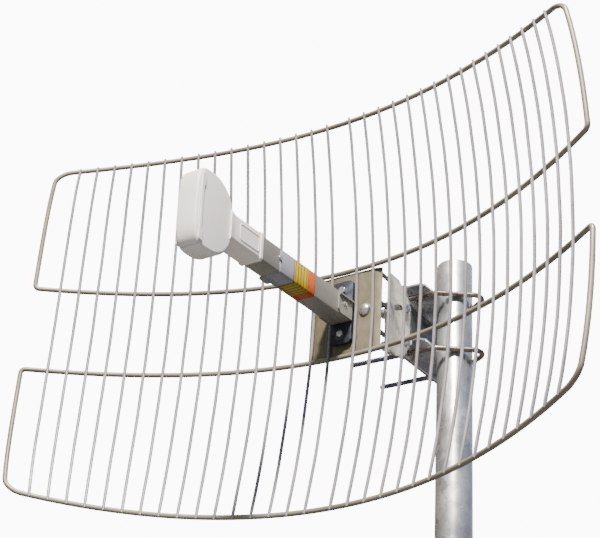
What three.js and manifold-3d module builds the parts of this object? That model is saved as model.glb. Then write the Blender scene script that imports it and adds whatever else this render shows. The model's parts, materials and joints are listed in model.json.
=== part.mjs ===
// Wire-grid parabolic antenna on an offset side mount. Millimetres, +Z up.
// The dish looks along -Y. Everything is laid out in the dish's own frame, whose origin is the
// reflector's lowest point, and the whole assembly is then moved so that the origin is the centre
// of the mast's lower end.
import * as THREE from 'three';
import { mergeVertices } from 'three/addons/utils/BufferGeometryUtils.js';
import Module from 'manifold-3d';

const wasm = await Module();
wasm.setup();

// ---- driving dimensions ----
const GAP = 0.3; // between separate pieces that touch

// reflector
const PITCH = 29.0; // wire spacing
const WIRES_A_SIDE = 16;
const CENTRE_GAP = 42.1; // between the two innermost wires
const HALF_HEIGHT = 306.5; // of the outer frame, at the middle
const MID_HEIGHT = 68.3; // of the inner frame rods
const SIDE_U = 17.1 * PITCH; // flat half width to the frame's side rods
const CORNER = 27.0; // flat corner radius of the outer frame
const FOCAL_H = 288.0; // focal length of the horizontal section
const FOCAL_V = 581.0; // focal length of the vertical section
const WIRE_BOW = 5.83e-7; // how far wires lean in towards their tips, per mm2
const ROD_BOW = 5.71e-7; // how far the outer rods droop towards their ends, per mm2
const WIRE_R = 1.7;
const ROD_R = 3.2;
const WELD_SINK = 1.1; // how far a wire is sunk into a rod at a weld
const TIP = 5.0; // wire length past the outer rods

// back plate and boom foot
const PLATE_Y = 2.4; // front face
const PLATE_T = 2.0;
const PLATE_FLAT = 50.0; // half width of the flat part
const PLATE_HALF = 60.0;
const PLATE_EDGE_BACK = 3.0; // how far the bent edges lean back
const PLATE_Z = 64.4;
const FOOT_HALF_X = 17.2;
const FOOT_HALF_Z = 50.0;
const FOOT_FRONT = -5.0;
const FOOT_BOLT_Z = 35.0;
const CLIP_T = 2.2; // U-shaped clip between foot and boom
const CLIP_FRONT = -41.0;
const CLIP_LOW = -17.0;
const CLIP_TOP = 12.5;
const CLIP_LIP = 3.2; // lips at the top of its ears, bent outwards
const BOOM_SCREW_Y = -26.0;

// boom and feed
const BOOM_X = 16.0; // half section
const BOOM_Z = 18.2;
const BOOM_WALL = 2.2;
const BOOM_START = -8.7; // clear of the clip once the boom droops
const BOOM_END = -228.0;
const BOOM_DROOP = (2.4 * Math.PI) / 180; // the boom hangs slightly below the dish's axis
const NECK_X = 17.0;
const NECK_Z = 19.4;
const RIM = 6.0;
const HEAD_MID_Y = -343.0; // widest station of the head
const HEAD_BACK = 50.0; // depth behind it
const HEAD_FRONT = 28.0; // depth in front of it
const HEAD_HALF_Z = 57.0;
const HEAD_HALF_X = 16.6;
const SHELL_T = 2.2;
const SEAM_Y = -360.0; // joint between rear shell and front cover

// mast
const MAST_X = 85.0;
const MAST_Y = 181.0;
const MAST_R = 27.0;
const MAST_WALL = 3.6;
const MAST_TOP = 144.0;
const MAST_BOTTOM = -450.0;

// mount: tilt bracket, arm, clamps
const SHEET = 3.0;
const CHEEK_Y = 35.0; // tilt bracket cheek, front edge
const CHEEK_R = 55.0; // its outer face
const FLANGE_X = 24.0; // bracket flange behind the plate, inner edge
const FLANGE_Y = 6.2; // its front face, just behind the plate's bent edge
const BRACKET_LOW = -52.0;
const BRACKET_TOP = 72.0;
const FINGER_Z = [-34.0, 12.5, 59.0]; // fingers between flange and cheek
const FINGER_HALF = 3.0;
const MAIN_BOLT_X = 35.0;
const PIVOT = [84.0, -20.0]; // y, z
const LOCK = [79.6, 31.2]; // y, z
const SLOT_FROM = 93.0; // degrees about the pivot; the lock bolt rests at this end
const SLOT_TO = 127.0;
const ARM_X = 25.3;
const ARM_BACK = 237.0;
const ARM_LOW = -21.0;
const ARM_TOP = 98.0;
const CLAMP_FRONT = 121.0;
const CLAMP_REACH = 63.0;
const CLAMP_TOPS = { upper: 95.0, lower: 3.0 };
const UBOLT_DROP = 14.5; // U-bolt plane below the clamp's top face
const UBOLT_R = 4.0;
const UBOLT_HALF = 45.0; // half of the leg spacing
const UBOLT_NOSE_R = 16.0; // bend radius at the V nose
const UBOLT_NOSE_X = 113.0; // its centre
const UBOLT_BEND_R = 14.0; // bend radius where the legs turn in
const UBOLT_END = -70.0;
const BOLT_R = 4.0;
const NUT_AF = 13.0;
const NUT_T = 6.5;
const WASHER_R = 8.0;
const WASHER_T = 1.6;

// ---- finishes ----
const FINISHES = {
  wire: { color: 0xb9b7bb, roughness: 0.45, metalness: 0.6 },
  galvanised: { color: 0xa9adb0, roughness: 0.5, metalness: 0.7 },
  zinc: { color: 0xc3c5c8, roughness: 0.3, metalness: 0.85 },
  thread: { color: 0x4f535c, roughness: 0.55, metalness: 0.6 },
  plate: { color: 0xb3a07c, roughness: 0.6, metalness: 0.3 },
  boom: { color: 0x9a9790, roughness: 0.55, metalness: 0.2 },
  black: { color: 0x22242a, roughness: 0.5, metalness: 0.1 },
  white: { color: 0xe6e2dc, roughness: 0.5, metalness: 0.0 },
  board: { color: 0x2d5b3b, roughness: 0.6, metalness: 0.0 },
  copper: { color: 0xb4774a, roughness: 0.35, metalness: 0.9 },
};

// ---- helpers ----
function solid(geometry) {
  const bare = geometry.index ? geometry.toNonIndexed() : geometry;
  bare.deleteAttribute('normal');
  bare.deleteAttribute('uv');
  const merged = mergeVertices(bare, 1e-4);
  return new wasm.Manifold(new wasm.Mesh({
    numProp: 3,
    vertProperties: new Float32Array(merged.attributes.position.array),
    triVerts: new Uint32Array(merged.index.array),
  }));
}

function geometryOf(body) {
  const raw = body.getMesh();
  const geometry = new THREE.BufferGeometry();
  geometry.setAttribute('position', new THREE.BufferAttribute(new Float32Array(raw.vertProperties), 3));
  geometry.setIndex(new THREE.BufferAttribute(new Uint32Array(raw.triVerts), 1));
  const flat = geometry.toNonIndexed();
  flat.computeVertexNormals();
  return flat;
}

const assembly = new THREE.Group();
assembly.position.set(-MAST_X, -MAST_Y, -MAST_BOTTOM);
const boomAssembly = new THREE.Group(); // everything along the boom, built level and then drooped
boomAssembly.rotation.x = BOOM_DROOP;
assembly.add(boomAssembly);

function place(name, shape, finish, group = assembly) {
  const geometry = shape.getMesh ? geometryOf(shape) : shape;
  const node = new THREE.Mesh(geometry, new THREE.MeshStandardMaterial(FINISHES[finish]));
  node.name = name;
  group.add(node);
}

// turns geometry built along +Z (or extruded along +Z) so that it runs along the named axis
const TURN = {
  x: new THREE.Matrix4().makeBasis(
    new THREE.Vector3(0, 1, 0), new THREE.Vector3(0, 0, 1), new THREE.Vector3(1, 0, 0)),
  y: new THREE.Matrix4().makeBasis(
    new THREE.Vector3(0, 0, 1), new THREE.Vector3(1, 0, 0), new THREE.Vector3(0, 1, 0)),
  z: new THREE.Matrix4(),
};

// a closed outline in the two axes after `axis` (x: y,z; y: z,x; z: x,y), extruded along it
function prism(axis, points, from, to, bevel = 0) {
  const shape = new THREE.Shape(points.map(([a, b]) => new THREE.Vector2(a, b)));
  const geometry = new THREE.ExtrudeGeometry(shape, {
    depth: to - from - 2 * bevel, bevelEnabled: bevel > 0, bevelThickness: bevel,
    bevelSize: bevel, bevelOffset: -bevel, bevelSegments: 2, steps: 1,
  });
  geometry.translate(0, 0, from + bevel);
  geometry.applyMatrix4(TURN[axis]);
  return solid(geometry);
}

function ring(radius, count, a = 0, b = 0, turn = 0) {
  return Array.from({ length: count }, (_, i) => {
    const angle = (2 * Math.PI * (i + turn)) / count;
    return [a + radius * Math.cos(angle), b + radius * Math.sin(angle)];
  });
}

function roundedRect(halfA, halfB, radius, steps = 3) {
  const points = [];
  const corners = [[1, 1, 0], [-1, 1, 1], [-1, -1, 2], [1, -1, 3]];
  for (const [sa, sb, quarter] of corners) {
    for (let i = 0; i <= steps; i += 1) {
      const angle = (Math.PI / 2) * (quarter + i / steps);
      points.push([
        sa * (halfA - radius) + radius * Math.cos(angle),
        sb * (halfB - radius) + radius * Math.sin(angle),
      ]);
    }
  }
  return points;
}

function rod(axis, radius, from, to, a, b, count = 20) {
  return prism(axis, ring(radius, count, a, b), from, to);
}

function box(x0, x1, y0, y1, z0, z1) {
  const geometry = new THREE.BoxGeometry(x1 - x0, y1 - y0, z1 - z0);
  geometry.translate((x0 + x1) / 2, (y0 + y1) / 2, (z0 + z1) / 2);
  return solid(geometry);
}

function washer(axis, from, a, b, hole = BOLT_R + GAP, outer = WASHER_R) {
  return rod(axis, outer, from, from + WASHER_T, a, b, 20)
    .subtract(rod(axis, hole, from - 1, from + WASHER_T + 1, a, b, 12));
}

function nut(axis, from, a, b, hole = BOLT_R + GAP) {
  return prism(axis, ring(NUT_AF / Math.sqrt(3), 6, a, b), from, from + NUT_T, 0.5)
    .subtract(rod(axis, hole, from - 1, from + NUT_T + 1, a, b, 12));
}

function tube(axis, outer, inner, from, to, a, b) {
  return rod(axis, outer, from, to, a, b, 20).subtract(rod(axis, inner, from - 1, to + 1, a, b, 20));
}

// a bolt along `axis` with a hexagon head at its `to` end
function hexBolt(axis, from, to, a, b) {
  const head = prism(axis, ring(NUT_AF / Math.sqrt(3), 6, a, b), to, to + 5.3, 0.5);
  return rod(axis, BOLT_R, from, to + 1, a, b, 16).add(head);
}

// a polyline used point by point, so a sweep keeps exactly the stations it is given
class Stations extends THREE.Curve {
  constructor(points) {
    super();
    this.points = points;
  }

  getPoint(t, target = new THREE.Vector3()) {
    const at = t * (this.points.length - 1);
    const low = Math.min(Math.floor(at + 1e-9), this.points.length - 2);
    return target.lerpVectors(this.points[low], this.points[low + 1], at - low);
  }

  getPointAt(t, target) {
    return this.getPoint(t, target);
  }

  getTangentAt(t, target = new THREE.Vector3()) {
    const at = Math.round(t * (this.points.length - 1));
    const before = this.points[Math.max(at - 1, 0)];
    const after = this.points[Math.min(at + 1, this.points.length - 1)];
    return target.subVectors(after, before).normalize();
  }

  getTangent(t, target) {
    return this.getTangentAt(t, target);
  }
}

function sweep(points, radius, count) {
  const shape = new THREE.Shape(ring(radius, count, 0, 0, 0.5).map(([a, b]) => new THREE.Vector2(a, b)));
  const geometry = new THREE.ExtrudeGeometry(shape, {
    steps: points.length - 1, extrudePath: new Stations(points),
  });
  return solid(geometry);
}

// ---- reflector ----
// where a point of the flat grid (u across, w up) lands on the pressed reflector
function onReflector(u, w, behind = 0) {
  const across = Math.abs(u * (1 - WIRE_BOW * w * w));
  const droop = ROD_BOW * (w / HALF_HEIGHT) ** 2;
  const z = w * (1 - droop * u * u);
  let x = across;
  for (let i = 0; i < 12; i += 1) {
    const s = x / (2 * FOCAL_H);
    const arc = FOCAL_H * (s * Math.sqrt(1 + s * s) + Math.asinh(s));
    x += (across - arc) / Math.sqrt(1 + s * s);
  }
  x *= Math.sign(u);
  const y = -(x * x) / (4 * FOCAL_H) - (z * z) / (4 * FOCAL_V);
  const normal = new THREE.Vector3(x / (2 * FOCAL_H), 1, z / (2 * FOCAL_V)).normalize();
  return new THREE.Vector3(x, y, z).addScaledVector(normal, behind);
}

const ROD_BEHIND = WIRE_R + ROD_R - WELD_SINK;

function wire(u) {
  const reach = HALF_HEIGHT + TIP;
  const points = [];
  for (let i = 0; i <= 6; i += 1) {
    points.push(onReflector(u, -reach + (2 * reach * i) / 6));
  }
  return sweep(points, WIRE_R, 5);
}

function innerRod(w) {
  const points = [];
  for (let i = 0; i <= 22; i += 1) {
    points.push(onReflector(-SIDE_U + (2 * SIDE_U * i) / 22, w, ROD_BEHIND));
  }
  return sweep(points, ROD_R, 6);
}

function outerRod(sign) {
  const flat = [];
  const straight = SIDE_U - CORNER;
  for (let i = 0; i <= 3; i += 1) {
    flat.push([-SIDE_U, MID_HEIGHT + ((HALF_HEIGHT - CORNER - MID_HEIGHT) * i) / 3.001]);
  }
  for (let i = 0; i <= 4; i += 1) {
    const angle = Math.PI - (Math.PI / 2) * (i / 4);
    flat.push([-straight + CORNER * Math.cos(angle), HALF_HEIGHT - CORNER + CORNER * Math.sin(angle)]);
  }
  for (let i = 1; i < 21; i += 1) {
    flat.push([-straight + (2 * straight * i) / 21, HALF_HEIGHT]);
  }
  const half = flat.length - 20;
  for (let i = half - 1; i >= 0; i -= 1) {
    flat.push([-flat[i][0], flat[i][1]]);
  }
  return sweep(flat.map(([u, w]) => onReflector(u, sign * w, ROD_BEHIND)), ROD_R, 6);
}

function reflectorGrid() {
  let grid = outerRod(1).add(outerRod(-1)).add(innerRod(MID_HEIGHT)).add(innerRod(-MID_HEIGHT));
  for (const side of [-1, 1]) {
    for (const level of [-MID_HEIGHT, MID_HEIGHT]) {
      const knob = new THREE.SphereGeometry(ROD_R * 1.08, 10, 6);
      const at = onReflector(side * SIDE_U, level, ROD_BEHIND);
      knob.translate(at.x, at.y, at.z);
      grid = grid.add(solid(knob));
    }
    for (let i = 0; i < WIRES_A_SIDE; i += 1) {
      grid = grid.add(wire(side * (CENTRE_GAP / 2 + PITCH * i)));
    }
  }
  return grid;
}

// ---- back plate and boom foot ----
function backPlate() {
  const back = PLATE_Y + PLATE_T;
  const outline = [
    [-PLATE_FLAT, PLATE_Y], [PLATE_FLAT, PLATE_Y],
    [PLATE_HALF, PLATE_Y + PLATE_EDGE_BACK], [PLATE_HALF - 0.5, back + PLATE_EDGE_BACK],
    [PLATE_FLAT, back], [-PLATE_FLAT, back],
    [-PLATE_HALF + 0.5, back + PLATE_EDGE_BACK], [-PLATE_HALF, PLATE_Y + PLATE_EDGE_BACK],
  ];
  let plate = prism('z', outline, -PLATE_Z, PLATE_Z);
  const hole = (radius, x, z) => {
    plate = plate.subtract(rod('y', radius, PLATE_Y - 5, back + 5, z, x, 20));
  };
  hole(BOLT_R - 1 + GAP, 0, FOOT_BOLT_Z);
  hole(BOLT_R - 1 + GAP, 0, -FOOT_BOLT_Z);
  hole(BOLT_R + GAP, MAIN_BOLT_X, 0);
  return plate;
}

function boomFoot() {
  let foot = prism('y', roundedRect(FOOT_HALF_Z, FOOT_HALF_X, 6), FOOT_FRONT, PLATE_Y - GAP, 0.8);
  for (const z of [-FOOT_BOLT_Z, FOOT_BOLT_Z]) {
    foot = foot.subtract(rod('y', BOLT_R - 1 + GAP, FOOT_FRONT - 5, PLATE_Y + 5, z, 0, 16));
  }
  return foot;
}

// a bent clip: a web on the foot and an ear on each side of the boom, lipped along the top
function boomClip() {
  const back = FOOT_FRONT - GAP;
  const inner = BOOM_X + GAP;
  const outer = inner + CLIP_T;
  let clip = box(-outer, outer, back - CLIP_T, back, CLIP_LOW, CLIP_TOP);
  const ear = [
    [back, CLIP_LOW], [back, CLIP_TOP], [CLIP_FRONT, CLIP_TOP],
    [CLIP_FRONT, CLIP_LOW + 6], [CLIP_FRONT + 5, CLIP_LOW],
  ].reverse();
  for (const side of [-1, 1]) {
    const faces = [side * inner, side * outer];
    clip = clip.add(prism('x', ear, Math.min(...faces), Math.max(...faces)));
    const lip = side * (outer + CLIP_LIP);
    clip = clip.add(box(Math.min(side * inner, lip), Math.max(side * inner, lip),
      CLIP_FRONT, back, CLIP_TOP - CLIP_T, CLIP_TOP));
  }
  return clip.rotate([(BOOM_DROOP * 180) / Math.PI, 0, 0])
    .intersect(box(-40, 40, -100, back, -100, 100))
    .subtract(rod('x', 2.0 + GAP, -30, 30,
      BOOM_SCREW_Y * Math.cos(BOOM_DROOP), BOOM_SCREW_Y * Math.sin(BOOM_DROOP), 12));
}

// ---- boom and feed ----
function boomHousing() {
  const outer = prism('y', roundedRect(BOOM_Z, BOOM_X, 2.5), BOOM_END, BOOM_START);
  const bore = prism('y', roundedRect(BOOM_Z - BOOM_WALL, BOOM_X - BOOM_WALL, 1.2), BOOM_END - 1, 0);
  const lug = box(-BOOM_X - 6, -BOOM_X + 1, -180, -162, -BOOM_Z + 1, -BOOM_Z + 5);
  return outer.add(lug).subtract(bore)
    .subtract(rod('z', 1.6, -BOOM_Z - 1, -BOOM_Z + 4, -2.4, -183, 12))
    .subtract(rod('x', 2.0 + GAP, -BOOM_X - 1, BOOM_X + 1, BOOM_SCREW_Y, 0, 12))
    .subtract(rod('x', 1.6 + GAP, BOOM_X - 4, BOOM_X + 1, -187, 3, 12));
}

// closed D outline of the head in y, z: blunt front, rounder back
function headOutline(offset) {
  const points = [];
  for (let i = 0; i < 40; i += 1) {
    const angle = (2 * Math.PI * i) / 40;
    const c = Math.cos(angle);
    const s = Math.sin(angle);
    const power = c < 0 ? 3.6 : 2.3;
    const depth = (c < 0 ? HEAD_FRONT : HEAD_BACK) - offset;
    points.push([
      HEAD_MID_Y + depth * Math.sign(c) * Math.abs(c) ** (2 / power),
      (HEAD_HALF_Z - offset) * Math.sign(s) * Math.abs(s) ** (2 / power),
    ]);
  }
  return points;
}

function headSolid(offset, bevel) {
  return prism('x', headOutline(offset), -HEAD_HALF_X + offset, HEAD_HALF_X - offset, bevel);
}

// the outline of the flat panel on the neck's sides, in y, z
function neckPanel(halfY, halfZ, radius, from, to) {
  return prism('x', roundedRect(halfY, halfZ, radius).map(([a, b]) => [a - 264, b]), from, to);
}

function rearShell() {
  const front = HEAD_MID_Y + HEAD_BACK - 8;
  const neckStart = BOOM_END - GAP;
  const neck = prism('y', roundedRect(NECK_Z, NECK_X, 3), front, neckStart);
  const rim = prism('y', roundedRect(NECK_Z + 1.2, NECK_X + 1.2, 3), neckStart - RIM, neckStart);
  const spigot = prism('y', roundedRect(
    BOOM_Z - BOOM_WALL - GAP, BOOM_X - BOOM_WALL - GAP, 1.2), neckStart - 4, neckStart + 14);
  const channel = prism('y', roundedRect(BOOM_Z - 4.6, BOOM_X - 4.6, 1), front - 4, neckStart + 20);
  const recess = neckPanel(24, 12, 5, NECK_X - 0.8, NECK_X + 2)
    .add(neckPanel(24, 12, 5, -NECK_X - 2, -NECK_X + 0.8));
  const panel = neckPanel(22.6, 10.6, 4, -NECK_X + 0.1, NECK_X - 0.1);
  const keep = box(-30, 30, SEAM_Y, 0, -100, 100);
  const lip = headSolid(SHELL_T + GAP, 1).intersect(box(-30, 30, SEAM_Y - 4, SEAM_Y + 6, -100, 100));
  return headSolid(0, 3.2).intersect(keep).add(neck).add(rim).add(spigot).add(lip)
    .subtract(recess).add(panel)
    .subtract(headSolid(SHELL_T + GAP + 1.4, 1).intersect(box(-30, 30, -400, -270, -100, 100)))
    .subtract(channel);
}

function frontCover() {
  const keep = box(-30, 30, -400, SEAM_Y - GAP, -100, 100);
  const strip = prism('x', headOutline(-1.2), -HEAD_HALF_X - 1.2, HEAD_HALF_X + 1.2, 2)
    .intersect(box(-30, 30, -400, SEAM_Y - GAP, -52, 100));
  const near = HEAD_HALF_X + GAP;
  const far = HEAD_HALF_X + 1.2;
  const tab = (z) => box(near, far, SEAM_Y - 3, SEAM_Y + 5, z - 6, z + 6)
    .add(box(-far, -near, SEAM_Y - 3, SEAM_Y + 5, z - 6, z + 6));
  return headSolid(0, 3.2).intersect(keep).add(strip).add(tab(30)).add(tab(-46))
    .subtract(headSolid(SHELL_T, 1));
}

// ---- mount ----
function cheekOutline() {
  return [
    [CHEEK_Y, BRACKET_LOW], [62, BRACKET_LOW], [84, -42], [96, -24], [98, 20], [96, 42],
    [88, 54], [62, BRACKET_TOP], [CHEEK_Y, BRACKET_TOP],
  ];
}

// kidney slot about the pivot, in y, z
function arcSlot() {
  const radius = Math.hypot(LOCK[0] - PIVOT[0], LOCK[1] - PIVOT[1]);
  const half = BOLT_R + 0.6;
  const points = [];
  const at = (r, degrees) => {
    const a = (degrees * Math.PI) / 180;
    return [PIVOT[0] + r * Math.cos(a), PIVOT[1] + r * Math.sin(a)];
  };
  const steps = 6;
  const sweepBy = (SLOT_TO - SLOT_FROM) / steps;
  const roundEnd = (half / radius) * (180 / Math.PI);
  for (let i = 0; i <= steps; i += 1) {
    points.push(at(radius + half, SLOT_FROM + sweepBy * i));
  }
  points.push(at(radius, SLOT_TO + roundEnd));
  for (let i = steps; i >= 0; i -= 1) {
    points.push(at(radius - half, SLOT_FROM + sweepBy * i));
  }
  points.push(at(radius, SLOT_FROM - roundEnd));
  return points;
}

// a flange behind the plate, three fingers back from its edge, and the cheek they carry
function tiltBracket() {
  const inner = CHEEK_R - SHEET;
  const low = FINGER_Z[0] - FINGER_HALF;
  const top = FINGER_Z[2] + FINGER_HALF;
  let bracket = prism('x', cheekOutline(), inner, CHEEK_R)
    .add(box(FLANGE_X, CHEEK_R, FLANGE_Y, FLANGE_Y + SHEET, low, top));
  for (const z of FINGER_Z) {
    bracket = bracket.add(box(inner, CHEEK_R, FLANGE_Y, CHEEK_Y + 1, z - FINGER_HALF, z + FINGER_HALF));
  }
  return bracket
    .subtract(prism('x', arcSlot(), inner - 1, CHEEK_R + 1))
    .subtract(rod('x', BOLT_R + GAP, inner - 1, CHEEK_R + 1, ...PIVOT, 20))
    .subtract(rod('y', BOLT_R + GAP, FLANGE_Y - 1, FLANGE_Y + SHEET + 1, 0, MAIN_BOLT_X, 20));
}

function arm() {
  const outline = [
    [78, -32], [88, -34], [124, ARM_LOW], [ARM_BACK, ARM_LOW], [ARM_BACK, ARM_TOP],
    [121, ARM_TOP], [80, 48], [71, 38], [71, 25], [74, 10], [74, -25],
  ];
  let web = prism('x', outline, ARM_X, ARM_X + SHEET)
    .subtract(rod('x', BOLT_R + GAP + 0.3, ARM_X - 1, ARM_X + SHEET + 1, ...PIVOT, 20))
    .subtract(rod('x', BOLT_R + GAP, ARM_X - 1, ARM_X + SHEET + 1, ...LOCK, 20));
  for (const top of Object.values(CLAMP_TOPS)) {
    for (const y of [MAST_Y - UBOLT_HALF, MAST_Y + UBOLT_HALF]) {
      web = web.subtract(rod('x', UBOLT_R + GAP, ARM_X - 1, ARM_X + SHEET + 1, y, top - UBOLT_DROP, 20));
    }
  }
  return web;
}

// an angle piece: a leg bolted to the arm and a flange notched round the mast
function clampSaddle(top) {
  const inner = ARM_X + SHEET + GAP;
  const leg = box(inner, inner + SHEET, CLAMP_FRONT, ARM_BACK, top - UBOLT_DROP - 9.3, top);
  const flange = prism('z', [
    [inner, CLAMP_FRONT], [CLAMP_REACH - 8, CLAMP_FRONT], [CLAMP_REACH, CLAMP_FRONT + 8],
    [CLAMP_REACH, ARM_BACK - 8], [CLAMP_REACH - 8, ARM_BACK], [inner, ARM_BACK],
  ], top - SHEET, top);
  const notch = rod('z', MAST_R + 0.5, top - SHEET - 1, top + 1, MAST_X, MAST_Y, 48);
  let saddle = leg.add(flange).subtract(notch);
  for (const y of [MAST_Y - UBOLT_HALF, MAST_Y + UBOLT_HALF]) {
    saddle = saddle.subtract(rod('x', UBOLT_R + GAP, inner - 1, inner + SHEET + 1, y, top - UBOLT_DROP, 20));
  }
  return saddle;
}

// legs, a turn in on each side, straight flanks that touch the mast, and a round nose
function uBolt(z) {
  const clear = MAST_R + UBOLT_R + GAP + 0.2;
  const slope = Math.asin((clear - UBOLT_NOSE_R) / (UBOLT_NOSE_X - MAST_X));
  const flank = UBOLT_NOSE_X * Math.sin(slope) + UBOLT_NOSE_R; // straight flank's offset
  const cornerX = (flank - UBOLT_HALF * Math.cos(slope)) / Math.sin(slope);
  const bendX = cornerX - UBOLT_BEND_R * Math.tan(slope / 2);
  const half = [[UBOLT_END, UBOLT_HALF]];
  for (let i = 0; i <= 3; i += 1) {
    const angle = (slope * i) / 3;
    half.push([bendX + UBOLT_BEND_R * Math.sin(angle), UBOLT_HALF - UBOLT_BEND_R * (1 - Math.cos(angle))]);
  }
  for (let i = 0; i <= 4; i += 1) {
    const angle = Math.PI / 2 - slope - ((Math.PI / 2 - slope) * i) / 4;
    half.push([UBOLT_NOSE_X + UBOLT_NOSE_R * Math.cos(angle), UBOLT_NOSE_R * Math.sin(angle)]);
  }
  const back = half.slice(0, -1).reverse().map(([x, y]) => [x, -y]);
  return sweep([...half, ...back].map(([x, y]) => new THREE.Vector3(x, MAST_Y - y, z)), UBOLT_R, 10);
}

function mast() {
  const profile = [
    [0, MAST_BOTTOM], [MAST_R, MAST_BOTTOM], [MAST_R, MAST_TOP], [MAST_R - MAST_WALL, MAST_TOP],
    [MAST_R - MAST_WALL, MAST_BOTTOM + 6], [0, MAST_BOTTOM + 6],
  ].map(([r, z]) => new THREE.Vector2(r, z));
  const geometry = new THREE.LatheGeometry(profile, 48);
  geometry.rotateX(Math.PI / 2);
  geometry.translate(MAST_X, MAST_Y, 0);
  return solid(geometry);
}

// ---- the pieces ----
place('mast', mast(), 'galvanised');
place('mast_arm', arm(), 'galvanised');
for (const [level, top] of Object.entries(CLAMP_TOPS)) {
  const z = top - UBOLT_DROP;
  place(`clamp_saddle_${level}`, clampSaddle(top), 'galvanised');
  place(`u_bolt_${level}`, uBolt(z), 'thread');
  for (const [end, y] of [['front', MAST_Y - UBOLT_HALF], ['rear', MAST_Y + UBOLT_HALF]]) {
    const face = ARM_X - GAP - WASHER_T;
    place(`u_bolt_washer_${level}_${end}`, washer('x', face, y, z), 'zinc');
    place(`u_bolt_nut_${level}_${end}`, nut('x', face - GAP - NUT_T, y, z), 'zinc');
  }
}

// pivot and lock bolts run along x through the cheek, a spacer and the arm
for (const [name, at] of [['pivot', PIVOT], ['lock', LOCK]]) {
  const right = CHEEK_R + GAP;
  const left = ARM_X - GAP - WASHER_T;
  place(`${name}_bolt`, hexBolt('x', left - GAP - NUT_T - 6, right + WASHER_T + GAP, ...at), 'zinc');
  place(`${name}_washer_right`, washer('x', right, ...at), 'zinc');
  place(`${name}_washer_left`, washer('x', left, ...at), 'zinc');
  place(`${name}_nut`, nut('x', left - GAP - NUT_T, ...at), 'zinc');
  place(`${name}_spacer`, tube('x', 7.5, BOLT_R + GAP,
    ARM_X + SHEET + GAP, CHEEK_R - SHEET - GAP, ...at), 'galvanised');
}

place('tilt_bracket', tiltBracket(), 'galvanised');

// big round-headed bolt through the plate and the bracket's flange
const boltEnd = FLANGE_Y + SHEET + NUT_T + 6;
const domeHead = new THREE.LatheGeometry([
  [0, PLATE_Y - GAP - 6.2], [3.6, PLATE_Y - GAP - 5.7],
  [6.6, PLATE_Y - GAP - 4.2], [8.6, PLATE_Y - GAP - 1.9],
  [9.2, PLATE_Y - GAP], [BOLT_R, PLATE_Y - GAP], [BOLT_R, boltEnd], [0, boltEnd],
].map(([r, y]) => new THREE.Vector2(r, y)), 24);
domeHead.translate(MAIN_BOLT_X, 0, 0);
place('main_bolt', solid(domeHead), 'zinc');
place('main_bolt_nut', nut('y', FLANGE_Y + SHEET + GAP, 0, MAIN_BOLT_X), 'zinc');

place('reflector_grid', reflectorGrid(), 'wire');
place('back_plate', backPlate(), 'plate');
place('boom_foot', boomFoot(), 'black');
place('boom_clip', boomClip(), 'boom');
for (const [where, z] of [['upper', FOOT_BOLT_Z], ['lower', -FOOT_BOLT_Z]]) {
  const radius = BOLT_R - 1;
  const back = PLATE_Y + PLATE_T;
  const head = prism('y', ring(5.6, 6, z, 0), FOOT_FRONT - GAP - 3.6, FOOT_FRONT - GAP, 0.4);
  place(`foot_bolt_${where}`, rod('y', radius, FOOT_FRONT - 1, back + 9, z, 0, 14).add(head), 'zinc');
  place(`foot_nut_${where}`, prism('y', ring(5.6, 6, z, 0), back + GAP, back + GAP + 4, 0.4)
    .subtract(rod('y', radius + GAP, back - 1, back + 9, z, 0, 14)), 'zinc');
}
place('boom_housing', boomHousing(), 'boom', boomAssembly);
for (const [side, sign] of [['left', -1], ['right', 1]]) {
  const face = BOOM_X + CLIP_T + 2 * GAP;
  const along = (from, to, radius, count) => rod('x', radius, Math.min(sign * from, sign * to),
    Math.max(sign * from, sign * to), BOOM_SCREW_Y, 0, count);
  place(`boom_screw_${side}`, along(10, face + 1, 2.0, 12).add(along(face, face + 2.4, 4.0, 16)),
    'zinc', boomAssembly);
}
place('housing_screw', rod('x', 3.2, BOOM_X + GAP, BOOM_X + GAP + 2, -187, 3, 16)
  .add(rod('x', 1.6, BOOM_X - 5, BOOM_X + 1, -187, 3, 10)), 'zinc', boomAssembly);
place('feed_rear_shell', rearShell(), 'white', boomAssembly);
place('feed_front_cover', frontCover(), 'white', boomAssembly);
place('feed_board', box(-0.8, 0.8, -350, -216, -9, 9), 'board', boomAssembly);
place('feed_dipole', rod('z', 2.5, -40, 40, 6, -335, 12), 'copper', boomAssembly);

export default assembly;
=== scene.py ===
import json
import math

import bmesh
import bpy
from mathutils import Matrix, Vector, noise


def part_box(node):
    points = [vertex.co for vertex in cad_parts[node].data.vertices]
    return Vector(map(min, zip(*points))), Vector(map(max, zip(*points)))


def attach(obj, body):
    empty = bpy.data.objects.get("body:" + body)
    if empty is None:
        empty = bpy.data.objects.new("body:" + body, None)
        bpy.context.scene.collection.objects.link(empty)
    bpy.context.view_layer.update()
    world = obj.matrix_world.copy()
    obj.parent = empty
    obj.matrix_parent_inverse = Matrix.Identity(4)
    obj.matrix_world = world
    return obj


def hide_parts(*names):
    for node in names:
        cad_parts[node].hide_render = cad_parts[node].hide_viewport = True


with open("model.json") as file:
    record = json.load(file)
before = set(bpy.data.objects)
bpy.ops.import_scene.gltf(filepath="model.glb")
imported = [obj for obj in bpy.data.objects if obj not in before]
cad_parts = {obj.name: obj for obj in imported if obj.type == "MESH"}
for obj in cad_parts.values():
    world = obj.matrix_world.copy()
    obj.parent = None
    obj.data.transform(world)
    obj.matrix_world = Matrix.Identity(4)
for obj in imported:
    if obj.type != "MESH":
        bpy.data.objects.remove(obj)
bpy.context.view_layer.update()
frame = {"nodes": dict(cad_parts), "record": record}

MM = 0.001

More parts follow.
